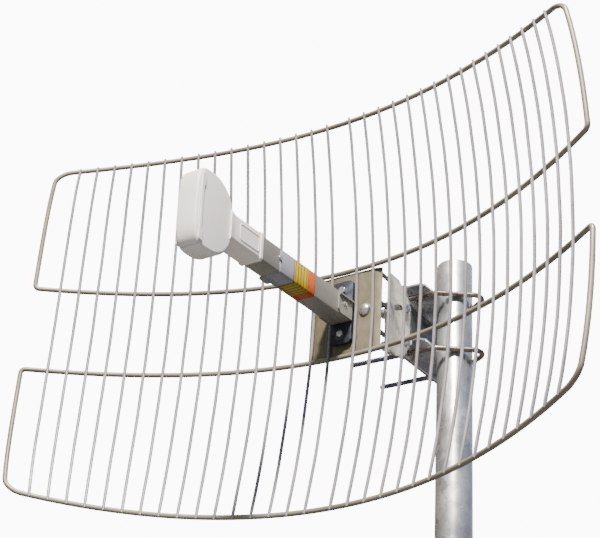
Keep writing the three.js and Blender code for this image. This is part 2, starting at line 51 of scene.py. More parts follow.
# ---- driving dimensions, millimetres, in the dish's own frame (looks along -Y) ----
GAP = 0.3
PITCH = 29.0
WIRES_A_SIDE = 16
CENTRE_GAP = 42.1
HALF_HEIGHT = 306.5
MID_HEIGHT = 68.3
SIDE_U = 17.1 * PITCH
CORNER = 27.0
INNER_CORNER = 7.0
FOCAL_H = 288.0
FOCAL_V = 581.0
WIRE_BOW = 5.83e-7
ROD_BOW = 5.71e-7
WIRE_R = 2.4
WIRE_STEPS = 48
ROD_R = 3.7
ROD_BEHIND = 3.8
TIP = 5.0
PLATE_Y = 2.4
BOOM_X = 16.0
BOOM_Z = 18.2
BOOM_END = -228.0
NECK_X = 17.0
NECK_Z = 19.4
HEAD_MID_Y = -343.0
HEAD_BACK = 50.0
HEAD_FRONT = 28.0
HEAD_HALF_Z = 57.0
HEAD_HALF_X = 16.6
SHELL_T = 2.2
LIP_T = 1.4
SEAM_Y = -360.0
PANEL_MID_Y = -258.0  # of the panels on the neck
LABEL_SKIN = 0.14  # how far a label's middle stands off the boom
LABEL_T = 0.12
LABEL_STEPS = 8
MAST_WALL = 3.6
MAST_FLOOR = 6.0  # thickness of the disc at the mast's foot
MAST_SEAM_ANGLE = math.radians(140)
UBOLT_R = 4.0
UBOLT_HALF = 45.0
UBOLT_NOSE_R = 16.0
UBOLT_NOSE_X = 28.0  # from the mast's axis
UBOLT_BEND_R = 14.0
UBOLT_THREAD = 62.0  # threaded length at each leg's end
BOLT_R = 4.0
NUT_AF = 13.0  # across flats
FOOT_BOLT_R = 3.0
FOOT_NUT_AF = 9.7
THREAD_PITCH = 1.25
CHAMFER_SLOPE = 0.577  # tangent of 30 degrees

PLATE_LOW, PLATE_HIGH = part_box("back_plate")
HEAD_LOW, HEAD_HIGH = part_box("feed_rear_shell")
VERTEX = Vector((
    (HEAD_LOW.x + HEAD_HIGH.x) / 2,
    PLATE_LOW.y - PLATE_Y * MM,
    (PLATE_LOW.z + PLATE_HIGH.z) / 2,
))
FLANGE_BACK = PLATE_LOW.y + 6.8 * MM  # of the tilt bracket, behind the plate
CHEEK_FRONT = PLATE_LOW.y + 32.6 * MM
JOINTS = {joint["name"]: joint for joint in frame["record"]["behaviour"]["joints"]}
COVER_AXIS = JOINTS["feed_cover_off"]["axis"]
DROOP = Matrix.Rotation(math.atan2(-COVER_AXIS[2], -COVER_AXIS[1]), 3, "X")


def on_dish(x, y, z):
    return VERTEX + Vector((x, y, z)) * MM


def on_boom(x, y, z):
    return VERTEX + DROOP @ Vector((x, y, z)) * MM


# ---- materials ----
def set_stops(node, stops):
    """Give a color ramp its stops, each a position and a color or grey."""
    elements = node.color_ramp.elements
    while len(elements) < len(stops):
        elements.new(0.5)
    for element, (position, color) in zip(elements, stops):
        element.position = position
        element.color = (*color, 1.0) if isinstance(color, tuple) else (color, color, color, 1.0)


class Finish:
    """One procedural material, built node by node on object coordinates."""

    def __init__(self, name, metallic=0.0, roughness=0.5):
        self.material = bpy.data.materials.new(name)
        self.material.use_nodes = True
        self.nodes = self.material.node_tree.nodes
        self.links = self.material.node_tree.links
        self.surface = self.nodes["Principled BSDF"]
        self.surface.inputs["Metallic"].default_value = metallic
        self.surface.inputs["Roughness"].default_value = roughness
        self.place = self.nodes.new("ShaderNodeTexCoord").outputs["Object"]

    def stretched(self, stretch):
        mapping = self.nodes.new("ShaderNodeMapping")
        mapping.inputs["Scale"].default_value = stretch
        self.links.new(self.place, mapping.inputs["Vector"])
        return mapping.outputs["Vector"]

    def noise(self, scale, detail=4.0, stretch=(1, 1, 1)):
        node = self.nodes.new("ShaderNodeTexNoise")
        node.inputs["Scale"].default_value = scale
        node.inputs["Detail"].default_value = detail
        self.links.new(self.stretched(stretch), node.inputs["Vector"])
        return node.outputs[0]

    def along(self, axis, low, high):
        """0 below one place on an axis, in metres, and 1 above another."""
        split = self.nodes.new("ShaderNodeSeparateXYZ")
        span = self.nodes.new("ShaderNodeMapRange")
        span.inputs["From Min"].default_value = low
        span.inputs["From Max"].default_value = high
        self.links.new(self.place, split.inputs[0])
        self.links.new(split.outputs[axis], span.inputs["Value"])
        return span.outputs[0]

    def bars(self, axis, period):
        """Waves of one period, in metres, along an axis."""
        node = self.nodes.new("ShaderNodeTexWave")
        node.bands_direction = axis
        node.inputs["Scale"].default_value = math.pi / (10 * period)
        self.links.new(self.place, node.inputs["Vector"])
        return node.outputs["Fac"]

    def crystals(self, scale):
        """A random grey for each cell, as in zinc spangle."""
        node = self.nodes.new("ShaderNodeTexVoronoi")
        node.inputs["Scale"].default_value = scale
        warped = self.nodes.new("ShaderNodeVectorMath")
        wobble = self.nodes.new("ShaderNodeTexNoise")
        wobble.inputs["Scale"].default_value = scale * 1.6
        scaled = self.nodes.new("ShaderNodeVectorMath")
        scaled.operation = "SCALE"
        scaled.inputs["Scale"].default_value = 0.012
        self.links.new(self.place, wobble.inputs["Vector"])
        self.links.new(wobble.outputs[1], scaled.inputs[0])
        self.links.new(self.place, warped.inputs[0])
        self.links.new(scaled.outputs[0], warped.inputs[1])
        self.links.new(warped.outputs[0], node.inputs["Vector"])
        grey = self.nodes.new("ShaderNodeRGBToBW")
        self.links.new(node.outputs["Color"], grey.inputs[0])
        return grey.outputs[0]

    def ramp(self, value, stops):
        node = self.nodes.new("ShaderNodeValToRGB")
        set_stops(node, stops)
        self.links.new(value, node.inputs[0])
        return node.outputs[0]

    def mix(self, factor, first, second, blend="MIX"):
        node = self.nodes.new("ShaderNodeMix")
        node.data_type = "RGBA"
        node.blend_type = blend
        for index, value in ((0, factor), (6, first), (7, second)):
            socket = node.inputs[index]
            if isinstance(value, bpy.types.NodeSocket):
                self.links.new(value, socket)
            else:
                socket.default_value = (*value, 1.0) if isinstance(value, tuple) else value
        return node.outputs[2]

    def color(self, value):
        self.links.new(value, self.surface.inputs["Base Color"])

    def roughness(self, value):
        self.links.new(value, self.surface.inputs["Roughness"])

    def bump(self, height, strength, distance):
        node = self.nodes.new("ShaderNodeBump")
        node.inputs["Strength"].default_value = strength
        node.inputs["Distance"].default_value = distance
        self.links.new(height, node.inputs["Height"])
        if self.surface.inputs["Normal"].links:
            self.links.new(self.surface.inputs["Normal"].links[0].from_socket, node.inputs["Normal"])
        self.links.new(node.outputs[0], self.surface.inputs["Normal"])


def coated_wire(name, light, dark):
    """Satin coat over wire: slow tone drift, fine grime specks, soft orange peel."""
    finish = Finish(name, metallic=0.25)
    drift = finish.ramp(finish.noise(9, 5), [(0.3, dark), (0.7, light)])
    specks = finish.ramp(finish.noise(160, 3), [(0.64, 0.0), (0.85, 0.30)])
    finish.color(finish.mix(specks, drift, tuple(c * 0.62 for c in dark)))
    finish.roughness(finish.ramp(finish.noise(60, 4), [(0.3, 0.34), (0.7, 0.50)]))
    finish.bump(finish.noise(700, 3), 0.12, 0.0002)
    return finish.material


def galvanised(name, light, dark):
    """Hot-dip zinc: spangle, grey bloom, run marks and brown-grey stains."""
    finish = Finish(name, metallic=0.8)
    spangle = finish.ramp(finish.crystals(85), [(0.15, dark), (0.85, light)])
    bloom = finish.ramp(finish.noise(14, 7, (1, 1, 0.35)), [(0.38, 0.0), (0.68, 1.0)])
    hazed = finish.mix(bloom, spangle, tuple(0.5 * (a + b) for a, b in zip(light, dark)))
    stain = finish.ramp(finish.noise(30, 9, (1, 1, 0.2)), [(0.54, 0.0), (0.72, 0.70)])
    finish.color(finish.mix(stain, hazed, (0.17, 0.125, 0.08)))
    finish.roughness(finish.ramp(finish.noise(26, 6), [(0.3, 0.24), (0.7, 0.46)]))
    finish.bump(finish.noise(48, 6, (1, 1, 0.4)), 0.30, 0.0012)
    finish.bump(finish.noise(900, 2), 0.10, 0.0002)
    return finish.material


def cheek_zinc():
    """Zinc under warm, mottled dirt; the fingers between flange and cheek are near-black, painted shade."""
    finish = Finish("cheek_zinc", metallic=0.45)
    spangle = finish.ramp(finish.crystals(110), [(0.15, (0.70, 0.67, 0.57)), (0.85, (0.88, 0.855, 0.76))])
    mottle = finish.ramp(finish.noise(70, 8), [(0.46, 0.0), (0.66, 0.75)])
    dirty = finish.mix(mottle, spangle, (0.50, 0.47, 0.36))
    # 0 on the fingers between flange and cheek, where the colour is near-black painted shade; 1 elsewhere
    off_painted_shade = finish.ramp(finish.along("Y", FLANGE_BACK, CHEEK_FRONT),
                              [(0.0, 1.0), (0.06, 0.0), (0.94, 0.0), (1.0, 1.0)])
    finish.color(finish.mix(off_painted_shade, (0.06, 0.061, 0.066), dirty))
    finish.roughness(finish.ramp(finish.noise(60, 5), [(0.3, 0.42), (0.7, 0.62)]))
    finish.bump(finish.noise(90, 6), 0.3, 0.0008)
    return finish.material


def threaded_zinc():
    """U-bolt: brown tarnish round the mast, blue-grey passivation out on the legs, darkened there as
    painted shade.
    """
    finish = Finish("threaded_zinc", metallic=0.9)
    patch = finish.noise(140, 6)
    smooth = finish.ramp(patch, [(0.35, (0.15, 0.115, 0.10)), (0.65, (0.34, 0.285, 0.26))])
    # out on the legs: blue-grey passivation, darkened as painted shade
    legs = finish.ramp(patch, [(0.35, (0.075, 0.085, 0.115)), (0.65, (0.17, 0.185, 0.225))])
    finish.color(finish.mix(finish.along("X", -0.085, -0.045), legs, smooth))
    finish.roughness(finish.ramp(finish.noise(240, 4), [(0.3, 0.24), (0.7, 0.42)]))
    finish.bump(finish.noise(1500, 3, (1, 1, 4)), 0.15, 0.0001)
    return finish.material


def bright_zinc():
    """Electroplated hardware: fine scratches, dulled patches."""
    finish = Finish("bright_zinc", metallic=0.95)
    patch = finish.ramp(finish.noise(140, 6), [(0.35, (0.58, 0.58, 0.57)), (0.65, (0.82, 0.82, 0.82))])
    grime = finish.ramp(finish.noise(320, 5), [(0.62, 0.0), (0.76, 0.7)])
    finish.color(finish.mix(grime, patch, (0.22, 0.21, 0.19)))
    finish.roughness(finish.ramp(finish.noise(240, 4), [(0.3, 0.20), (0.7, 0.38)]))
    finish.bump(finish.noise(1500, 3, (1, 1, 4)), 0.15, 0.0001)
    return finish.material


def beige_plate():
    """Satin beige coat with vertical drawing marks, faint rubs and dust."""
    finish = Finish("beige_plate", metallic=0.35)
    grain = finish.ramp(finish.noise(330, 5, (1, 1, 0.22)),
                        [(0.3, (0.118, 0.101, 0.060)), (0.7, (0.158, 0.138, 0.086))])
    dust = finish.ramp(finish.noise(35, 7), [(0.45, 0.0), (0.75, 0.55)])
    finish.color(finish.mix(dust, grain, (0.175, 0.158, 0.112)))
    finish.roughness(finish.ramp(finish.noise(70, 5), [(0.3, 0.38), (0.7, 0.6)]))
    finish.bump(finish.noise(500, 3, (1, 1, 0.06)), 0.2, 0.0002)
    return finish.material


def grey_paint():
    """Warm grey paint on the boom: orange peel, rain streaks, chalky patches."""
    finish = Finish("grey_paint", metallic=0.25)
    tone = finish.ramp(finish.noise(22, 6, (1, 0.3, 1)),
                       [(0.3, (0.185, 0.181, 0.160)), (0.7, (0.255, 0.250, 0.225))])
    streak = finish.ramp(finish.noise(90, 5, (1, 0.15, 1)), [(0.58, 0.0), (0.75, 0.6)])
    finish.color(finish.mix(streak, tone, (0.275, 0.27, 0.25)))
    finish.roughness(finish.ramp(finish.noise(50, 5), [(0.3, 0.36), (0.7, 0.55)]))
    finish.bump(finish.noise(650, 3), 0.22, 0.0003)
    return finish.material


def cast_black():
    """Satin black coat on a casting: pebble texture, grey-blue patches that are partly wear and partly
    painted bluish highlight.
    """
    finish = Finish("cast_black", metallic=0.3)
    # grey-blue patches: partly wear, partly painted highlight
    wear_and_sheen = finish.ramp(finish.noise(60, 8), [(0.52, 0.0), (0.72, 0.7)])
    finish.color(finish.mix(wear_and_sheen, (0.022, 0.025, 0.036), (0.10, 0.115, 0.15)))
    finish.roughness(finish.ramp(finish.noise(110, 4), [(0.3, 0.34), (0.7, 0.58)]))
    finish.bump(finish.noise(1100, 4), 0.35, 0.0003)
    return finish.material


def moulded_white():
    """Off-white outdoor plastic: faint mould grain, yellowing, light dust."""
    finish = Finish("moulded_white", roughness=0.42)
    aged = finish.ramp(finish.noise(11, 5), [(0.3, (0.73, 0.69, 0.66)), (0.7, (0.85, 0.82, 0.80))])
    dust = finish.ramp(finish.noise(75, 8), [(0.56, 0.0), (0.80, 0.35)])
    finish.color(finish.mix(dust, aged, (0.60, 0.56, 0.50)))
    finish.roughness(finish.ramp(finish.noise(60, 5), [(0.3, 0.36), (0.7, 0.52)]))
    finish.bump(finish.noise(1800, 2), 0.12, 0.0002)
    finish.surface.inputs["Subsurface Weight"].default_value = 0.04
    return finish.material


def printed_film(name, ink, metallic=0.0, bar_period=0.0):
    """Sticker film: slightly faded and creased ink, with plain dark bars if a period is given."""
    finish = Finish(name, metallic=metallic)
    faded = tuple(min(1.0, c * 0.85 + 0.004) for c in ink)
    tone = finish.ramp(finish.noise(80, 6), [(0.35, ink), (0.8, faded)])
    if bar_period:
        bars = finish.ramp(finish.bars("Y", bar_period), [(0.80, 0.0), (0.88, 0.8)])
        tone = finish.mix(bars, tone, (0.03, 0.025, 0.01))
    finish.color(tone)
    finish.roughness(finish.ramp(finish.noise(120, 3), [(0.3, 0.30), (0.7, 0.48)]))
    finish.bump(finish.noise(210, 4), 0.2, 0.0003)
    finish.surface.inputs["Specular IOR Level"].default_value = 0.2
    return finish.material


def circuit_board():
    """Solder mask over copper pour, with lighter track lines."""
    finish = Finish("circuit_board", roughness=0.35)
    tracks = finish.ramp(finish.noise(260, 1, (1, 0.15, 1)), [(0.49, 0.0), (0.51, 1.0)])
    finish.color(finish.mix(tracks, (0.02, 0.10, 0.04), (0.04, 0.19, 0.08)))
    finish.bump(tracks, 0.3, 0.0001)
    return finish.material


def bare_copper():
    """Drawn copper rod with brown tarnish."""
    finish = Finish("bare_copper", metallic=1.0)
    finish.color(finish.ramp(finish.noise(150, 6), [(0.3, (0.38, 0.16, 0.08)), (0.7, (0.78, 0.42, 0.26))]))
    finish.roughness(finish.ramp(finish.noise(200, 4), [(0.3, 0.22), (0.7, 0.42)]))
    return finish.material


WIRE_COAT = coated_wire("wire_coat", (0.27, 0.262, 0.272), (0.165, 0.16, 0.17))
ROD_COAT = coated_wire("rod_coat", (0.28, 0.255, 0.20), (0.175, 0.158, 0.125))
GALVANISED = galvanised("galvanised", (0.78, 0.785, 0.79), (0.46, 0.47, 0.49))
# galvanised zinc at about half brightness: painted shade for the arm's web, which sits in the flanges'
# shadow
ZINC_PAINTED_SHADE = galvanised("zinc_painted_shade", (0.27, 0.275, 0.27), (0.13, 0.13, 0.125))
CHEEK_ZINC = cheek_zinc()
THREADED_ZINC = threaded_zinc()
BRIGHT_ZINC = bright_zinc()
BEIGE = beige_plate()
GREY_PAINT = grey_paint()
CAST_BLACK = cast_black()
WHITE = moulded_white()
YELLOW_FILM = printed_film("yellow_film", (0.36, 0.245, 0.0), bar_period=0.0068)
ORANGE_FILM = printed_film("orange_film", (0.40, 0.055, 0.0))
SILVER_FILM = printed_film("silver_film", (0.27, 0.28, 0.32), 0.35)
BOARD = circuit_board()
COPPER = bare_copper()


# ---- mesh building ----
def piece(name, bm, material, body, replaces=(), sharp=35):
    """Turn a bmesh into a smooth-shaded piece that rides on a body."""
    bmesh.ops.remove_doubles(bm, verts=bm.verts, dist=1e-6)
    bmesh.ops.recalc_face_normals(bm, faces=bm.faces)
    mesh = bpy.data.meshes.new(name)
    bm.to_mesh(mesh)
    bm.free()
    mesh.shade_smooth()
    mesh.set_sharp_from_angle(angle=math.radians(sharp))
    mesh.materials.append(material)
    obj = bpy.data.objects.new(name, mesh)
    bpy.context.collection.objects.link(obj)
    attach(obj, body)
    if replaces:
        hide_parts(*replaces)
    return obj


def loft(bm, rings, closed=False):
    """Join rings of points with quads; ends are capped unless the loft closes on itself."""
    loops = [[bm.verts.new(point) for point in ring] for ring in rings]
    pairs = list(zip(loops, loops[1:]))
    if closed:
        pairs.append((loops[-1], loops[0]))
    for first, second in pairs:
        for i in range(len(first)):
            j = (i + 1) % len(first)
            bm.faces.new((first[i], first[j], second[j], second[i]))
    if not closed:
        bm.faces.new(loops[0])
        bm.faces.new(loops[-1])


def sweep(bm, path, radius, sides=10, closed=False):
    """A tube along a path; radius is a number or a function of length so far and angle."""
    count = len(path)
    rings = []
    normal = None
    length = 0.0
    for i, point in enumerate(path):
        before = path[i - 1] if (i or closed) else point
        after = path[(i + 1) % count] if (i < count - 1 or closed) else point
        tangent = (after - before).normalized()
        if normal is None:
            normal = tangent.orthogonal().normalized()
        normal = (normal - tangent * normal.dot(tangent)).normalized()
        side = tangent.cross(normal)
        length += (point - path[i - 1]).length if i else 0.0
        ring = []
        for k in range(sides):
            angle = 2 * math.pi * k / sides
            r = radius(length, angle) if callable(radius) else radius
            ring.append(point + (normal * math.cos(angle) + side * math.sin(angle)) * r)
        rings.append(ring)
    loft(bm, rings, closed)


AXES = {
    "x": (Vector((1, 0, 0)), Vector((0, 1, 0)), Vector((0, 0, 1))),
    "y": (Vector((0, 1, 0)), Vector((0, 0, 1)), Vector((1, 0, 0))),
    "z": (Vector((0, 0, 1)), Vector((1, 0, 0)), Vector((0, 1, 0))),
}


def turned(bm, axis, centre, stations, sides=32, closed=False, turn=None):
    """A turned solid: stations are (place along the axis, radius or radius by angle)."""
    along, across, up = AXES[axis]
    if turn:
        along, across, up = turn @ along, turn @ across, turn @ up
    rings = []
    for t, radius in stations:
        ring = []
        for k in range(sides):
            angle = 2 * math.pi * k / sides
            r = radius(angle) if callable(radius) else radius
            ring.append(centre + (along * t + across * math.cos(angle) * r + up * math.sin(angle) * r) * MM)
        rings.append(ring)
    loft(bm, rings, closed)


def hexagon(across_flats, limit):
    """Radius by angle of a hexagon whose corners are cut off at a round limit."""
    def radius(angle):
        wedge = (angle % (math.pi / 3)) - math.pi / 6
        return min(across_flats / 2 / math.cos(wedge), limit)
    return radius


def hex_stations(low, high, across_flats, chamfer_low=True, chamfer_high=True):
    """Stations of a hexagon with turned chamfers on its faces."""
    flat = across_flats / 2
    corner = across_flats / math.sqrt(3)
    cut = (corner - flat) * CHAMFER_SLOPE
    chamfer = [(cut, corner), (cut / 2, (flat + corner) / 2), (0.0, flat * 0.97)]
    square = [(0.0, corner)]
    stations = []
    for inwards, limit in reversed(chamfer if chamfer_low else square):
        stations.append((low + inwards, hexagon(across_flats, limit)))
    for inwards, limit in chamfer if chamfer_high else square:
        stations.append((high - inwards, hexagon(across_flats, limit)))
    return stations


def thread_stations(low, high, radius, pitch=THREAD_PITCH):
    """Ridges of a rolled thread, from low to high, with a chamfered tip at the low end."""
    stations = [(low, radius - 1.1)]
    count = int((high - low) / pitch)
    for i in range(count):
        start = low + 0.4 + i * pitch
        stations += [(start, radius - 0.62), (start + pitch * 0.5, radius)]
    stations.append((high, radius))
    return stations


# ---- reflector ----
def on_reflector(u, w, behind=0.0):
    """Where a point of the flat grid (u across, w up) lands on the pressed reflector."""
    across = abs(u * (1 - WIRE_BOW * w * w))
    droop = ROD_BOW * (w / HALF_HEIGHT) ** 2
    z = w * (1 - droop * u * u)
    x = across
    for _ in range(12):
        s = x / (2 * FOCAL_H)
        arc = FOCAL_H * (s * math.sqrt(1 + s * s) + math.asinh(s))
        x += (across - arc) / math.sqrt(1 + s * s)
    x = math.copysign(x, u)
    y = -(x * x) / (4 * FOCAL_H) - (z * z) / (4 * FOCAL_V)
    normal = Vector((x / (2 * FOCAL_H), 1, z / (2 * FOCAL_V))).normalized()
    return Vector((x, y, z)) + normal * behind


def wire_centres():
    return [side * (CENTRE_GAP / 2 + PITCH * i) for side in (-1, 1) for i in range(WIRES_A_SIDE)]


def waver(point, seed):
    """The slight unevenness of hand-jigged wire."""
    shift = noise.noise(Vector((point.x * 0.004, seed * 3.7, point.z * 0.016)))
    return point + Vector((shift * 0.7, 0, 0))


def build_wires():
    reach = HALF_HEIGHT + TIP
    for index, u in enumerate(wire_centres()):
        path = []
        for i in range(WIRE_STEPS + 1):
            w = -reach + 2 * reach * i / WIRE_STEPS
            path.append(on_dish(*waver(on_reflector(u, w), index)))
        total = sum((b - a).length for a, b in zip(path, path[1:]))

        def radius(length, _angle, total=total):
            end = min(length, total - length)
            return (WIRE_R if end > 1e-4 else WIRE_R * 0.72) * MM
        bm = bmesh.new()
        sweep(bm, path, radius, sides=10)
        piece(f"wire_{index:02d}", bm, WIRE_COAT, "dish", ["reflector_grid"])


def corner_points(u, w, radius, start, steps):
    return [(u + radius * math.cos(math.radians(start - 90 * i / steps)),
             w + radius * math.sin(math.radians(start - 90 * i / steps))) for i in range(steps + 1)]


def between(start, end, steps):
    """Evenly spaced values strictly between two."""
    return [start + (end - start) * i / steps for i in range(1, steps)]


def frame_loop(sign):
    """One rod bent into a closed rounded rectangle, above or below the middle."""
    low, high = MID_HEIGHT + INNER_CORNER, HALF_HEIGHT - CORNER
    inner, outer = SIDE_U - INNER_CORNER, SIDE_U - CORNER
    flat = corner_points(-inner, low, INNER_CORNER, 270, 6)
    flat += [(-SIDE_U, w) for w in between(low, high, 8)]
    flat += corner_points(-outer, high, CORNER, 180, 10)
    flat += [(u, HALF_HEIGHT) for u in between(-outer, outer, 48)]
    flat += corner_points(outer, high, CORNER, 90, 10)
    flat += [(SIDE_U, w) for w in between(high, low, 8)]
    flat += corner_points(inner, low, INNER_CORNER, 0, 6)
    flat += [(u, MID_HEIGHT) for u in between(inner, -inner, 48)]
    return [on_dish(*on_reflector(u, sign * w, ROD_BEHIND)) for u, w in flat]


def build_frame_rods():
    for name, sign in (("frame_upper", 1), ("frame_lower", -1)):
        bm = bmesh.new()
        sweep(bm, frame_loop(sign), ROD_R * MM, sides=14, closed=True)
        piece(name, bm, ROD_COAT, "dish", ["reflector_grid"])


def build_welds():
    """A small flattened bead where each wire crosses a rod."""
    bm = bmesh.new()
    for index, u in enumerate(wire_centres()):
        for w in (-HALF_HEIGHT, -MID_HEIGHT, MID_HEIGHT, HALF_HEIGHT):
            centre = on_dish(*on_reflector(u, w, WIRE_R * 0.9))
            size = 1.0 + 0.15 * noise.noise(Vector((index * 1.3, w * 0.1, 0)))
            scale = Matrix.Diagonal((2.9 * size * MM, 1.9 * MM, 3.1 * size * MM, 1))
            place = Matrix.Translation(centre) @ scale
            bmesh.ops.create_icosphere(bm, subdivisions=2, radius=1.0, matrix=place)
    piece("weld_beads", bm, ROD_COAT, "dish", ["reflector_grid"])


# ---- mast and U-bolts ----
def build_mast():
    """A tube with softened edges, closed at its foot, and its weld seam."""
    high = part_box("mast")[1]
    radius = high.x / MM
    top = high.z / MM
    bore = radius - MAST_WALL
    profile = [
        (0.0, radius - 0.4), (0.4, radius), (top - 1.0, radius), (top - 0.3, radius - 0.3),
        (top, radius - 1.0), (top, bore + 0.8), (top - 0.8, bore), (MAST_FLOOR, bore),
        (MAST_FLOOR, 0.01), (0.0, 0.01),
    ]
    bm = bmesh.new()
    turned(bm, "z", Vector((0, 0, 0)), profile, sides=128, closed=True)
    piece("mast_tube", bm, GALVANISED, "mast", ["mast"])
    out = Vector((math.cos(MAST_SEAM_ANGLE), math.sin(MAST_SEAM_ANGLE), 0)) * (radius - 0.5) * MM
    path = [out + Vector((0, 0, z)) * MM for z in range(2, int(top) - 2, 6)]
    bm = bmesh.new()
    sweep(bm, path, 0.8 * MM, sides=8)
    piece("mast_seam", bm, GALVANISED, "mast")


def ubolt_path(z):
    """Leg, turn in, flank against the mast, round nose, and back."""
    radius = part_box("mast")[1].x / MM
    clear = radius + UBOLT_R + GAP + 0.2
    slope = math.asin((clear - UBOLT_NOSE_R) / UBOLT_NOSE_X)
    end = (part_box("u_bolt_upper")[0].x) / MM
    flank = UBOLT_NOSE_X * math.sin(slope) + UBOLT_NOSE_R
    bend = (flank - UBOLT_HALF * math.cos(slope)) / math.sin(slope) - UBOLT_BEND_R * math.tan(slope / 2)
    half = []
    steps = 260
    for i in range(steps):
        half.append((end + (bend - end) * i / steps, UBOLT_HALF))
    for i in range(9):
        angle = slope * i / 8
        inwards = UBOLT_BEND_R * (1 - math.cos(angle))
        half.append((bend + UBOLT_BEND_R * math.sin(angle), UBOLT_HALF - inwards))
    for i in range(13):
        angle = (math.pi / 2 - slope) * (1 - i / 12)
        half.append((UBOLT_NOSE_X + UBOLT_NOSE_R * math.cos(angle), UBOLT_NOSE_R * math.sin(angle)))
    whole = half + [(x, -y) for x, y in reversed(half[:-1])]
    return [Vector((x * MM, -y * MM, z)) for x, y in whole]


def build_ubolts():
    for level in ("upper", "lower"):
        low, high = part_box(f"u_bolt_{level}")
        path = ubolt_path((low.z + high.z) / 2)
        total = sum((b - a).length for a, b in zip(path, path[1:]))

        def radius(length, angle, total=total):
            from_end = min(length, total - length) / MM
            if from_end > UBOLT_THREAD:
                return UBOLT_R * MM
            ridge = abs(((from_end / THREAD_PITCH + angle / (2 * math.pi)) % 1.0) * 2 - 1)
            return (UBOLT_R - 0.6 * ridge - max(0.0, 1.0 - from_end) * 0.8) * MM
        bm = bmesh.new()
        sweep(bm, path, radius, sides=20)
        piece(f"ubolt_{level}", bm, THREADED_ZINC, "mount", [f"u_bolt_{level}"], sharp=60)


# ---- fasteners ----
def middle(node):
    low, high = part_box(node)
    return (low + high) / 2


def build_nut(node, axis, body, across_flats=NUT_AF, bolt=BOLT_R):
    low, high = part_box(node)
    centre = (low + high) / 2
    half = (high - low)["xyz".index(axis)] / 2 / MM
    stations = hex_stations(-half, half, across_flats)
    bore = [(half, bolt + 0.6), (half - 0.8, bolt + 0.15), (-half + 0.8, bolt + 0.15), (-half, bolt + 0.6)]
    bm = bmesh.new()
    turned(bm, axis, centre, stations + bore, sides=72, closed=True)
    piece(f"{node}_hex", bm, BRIGHT_ZINC, body, [node], sharp=25)


def build_washer(node, body):
    low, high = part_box(node)
    centre = (low + high) / 2
    half = (high - low).x / 2 / MM
    outer = (high - low).z / 2 / MM
    inner = BOLT_R + GAP
    edge = 0.25
    profile = [(-half, inner), (-half, outer - edge), (-half + edge, outer), (half - edge, outer),
               (half, outer - edge), (half, inner)]
    bm = bmesh.new()
    turned(bm, "x", centre, profile, sides=48, closed=True)
    piece(f"{node}_disc", bm, BRIGHT_ZINC, body, [node])


def build_hex_bolt(node, body):
    """Head at +x, thread showing at -x."""
    low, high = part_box(node)
    centre = (low + high) / 2
    half = (high - low).x / 2 / MM
    bm = bmesh.new()
    turned(bm, "x", centre, hex_stations(half - 5.3, half, NUT_AF, chamfer_low=False), sides=72)
    turned(bm, "x", centre, thread_stations(-half, -half + 18, BOLT_R) + [(half - 5, BOLT_R)], sides=24)
    piece(f"{node}_body", bm, BRIGHT_ZINC, body, [node], sharp=25)


def build_main_bolt():
    low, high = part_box("main_bolt")
    centre = Vector((middle("main_bolt").x, low.y, middle("main_bolt").z))
    length = (high.y - low.y) / MM
    dome = []
    head = 6.2
    for i in range(13):
        angle = math.pi / 2 * i / 12
        dome.append((head * (1 - math.cos(angle)), 0.01 + 9.19 * math.sin(angle)))
    bm = bmesh.new()
    shank = [(head, BOLT_R), (length - 14, BOLT_R)]
    thread = [(length - t, r) for t, r in reversed(thread_stations(0, 13, BOLT_R))]
    turned(bm, "y", centre, dome + shank + thread, sides=48)
    piece("main_bolt_body", bm, BRIGHT_ZINC, "dish", ["main_bolt"], sharp=30)


def build_foot_bolts():
    for level in ("upper", "lower"):
        node = f"foot_bolt_{level}"
        low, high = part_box(node)
        centre = Vector((middle(node).x, low.y, middle(node).z))
        length = (high.y - low.y) / MM
        bm = bmesh.new()
        turned(bm, "y", centre, hex_stations(0, 3.6, FOOT_NUT_AF, chamfer_high=False), sides=72)
        thread = [(length - t, r) for t, r in reversed(thread_stations(0, 9, FOOT_BOLT_R, 1.0))]
        turned(bm, "y", centre, [(3.0, FOOT_BOLT_R)] + thread, sides=24)
        piece(f"{node}_body", bm, BRIGHT_ZINC, "dish", [node], sharp=25)
        build_nut(f"foot_nut_{level}", "y", "dish", FOOT_NUT_AF, FOOT_BOLT_R)


def build_pan_screws():
    """Round heads with a cross-shaped recess, on plain shanks."""
    for node, sign in (("boom_screw_left", -1), ("boom_screw_right", 1), ("housing_screw", 1)):
        low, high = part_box(node)
        centre = middle(node)
        radius = (high.y - low.y) / 2 / MM
        outer = (high.x if sign > 0 else low.x)
        base = Vector((outer, centre.y, centre.z))
        height = 2.4 if radius > 3.5 else 2.0

        def recessed(factor):
            def at(angle):
                return factor * (0.55 + 0.45 * abs(math.cos(2 * angle)) ** 6)
            return at
        stations = [(-(high.x - low.x) / MM, radius * 0.5), (-height, radius * 0.5), (-height, radius),
                    (-height * 0.55, radius * 0.97), (-height * 0.2, radius * 0.78), (0.0, radius * 0.62),
                    (0.0, recessed(radius * 0.5)), (-height * 0.5, recessed(radius * 0.4))]
        bm = bmesh.new()
        turned(bm, "x", base, [(sign * t, r) for t, r in stations], sides=48)
        piece(f"{node}_head", bm, BRIGHT_ZINC, "dish", [node], sharp=30)


def build_fasteners():
    for level in ("upper", "lower"):
        for end in ("front", "rear"):
            build_nut(f"u_bolt_nut_{level}_{end}", "x", "mount")
            build_washer(f"u_bolt_washer_{level}_{end}", "mount")
    for name, body in (("pivot", "dish"), ("lock", "mount")):
        build_hex_bolt(f"{name}_bolt", body)
        build_nut(f"{name}_nut", "x", body)
        build_washer(f"{name}_washer_left", body)
        build_washer(f"{name}_washer_right", body)
    build_nut("main_bolt_nut", "y", "dish")
    build_main_bolt()
    build_foot_bolts()
    build_pan_screws()


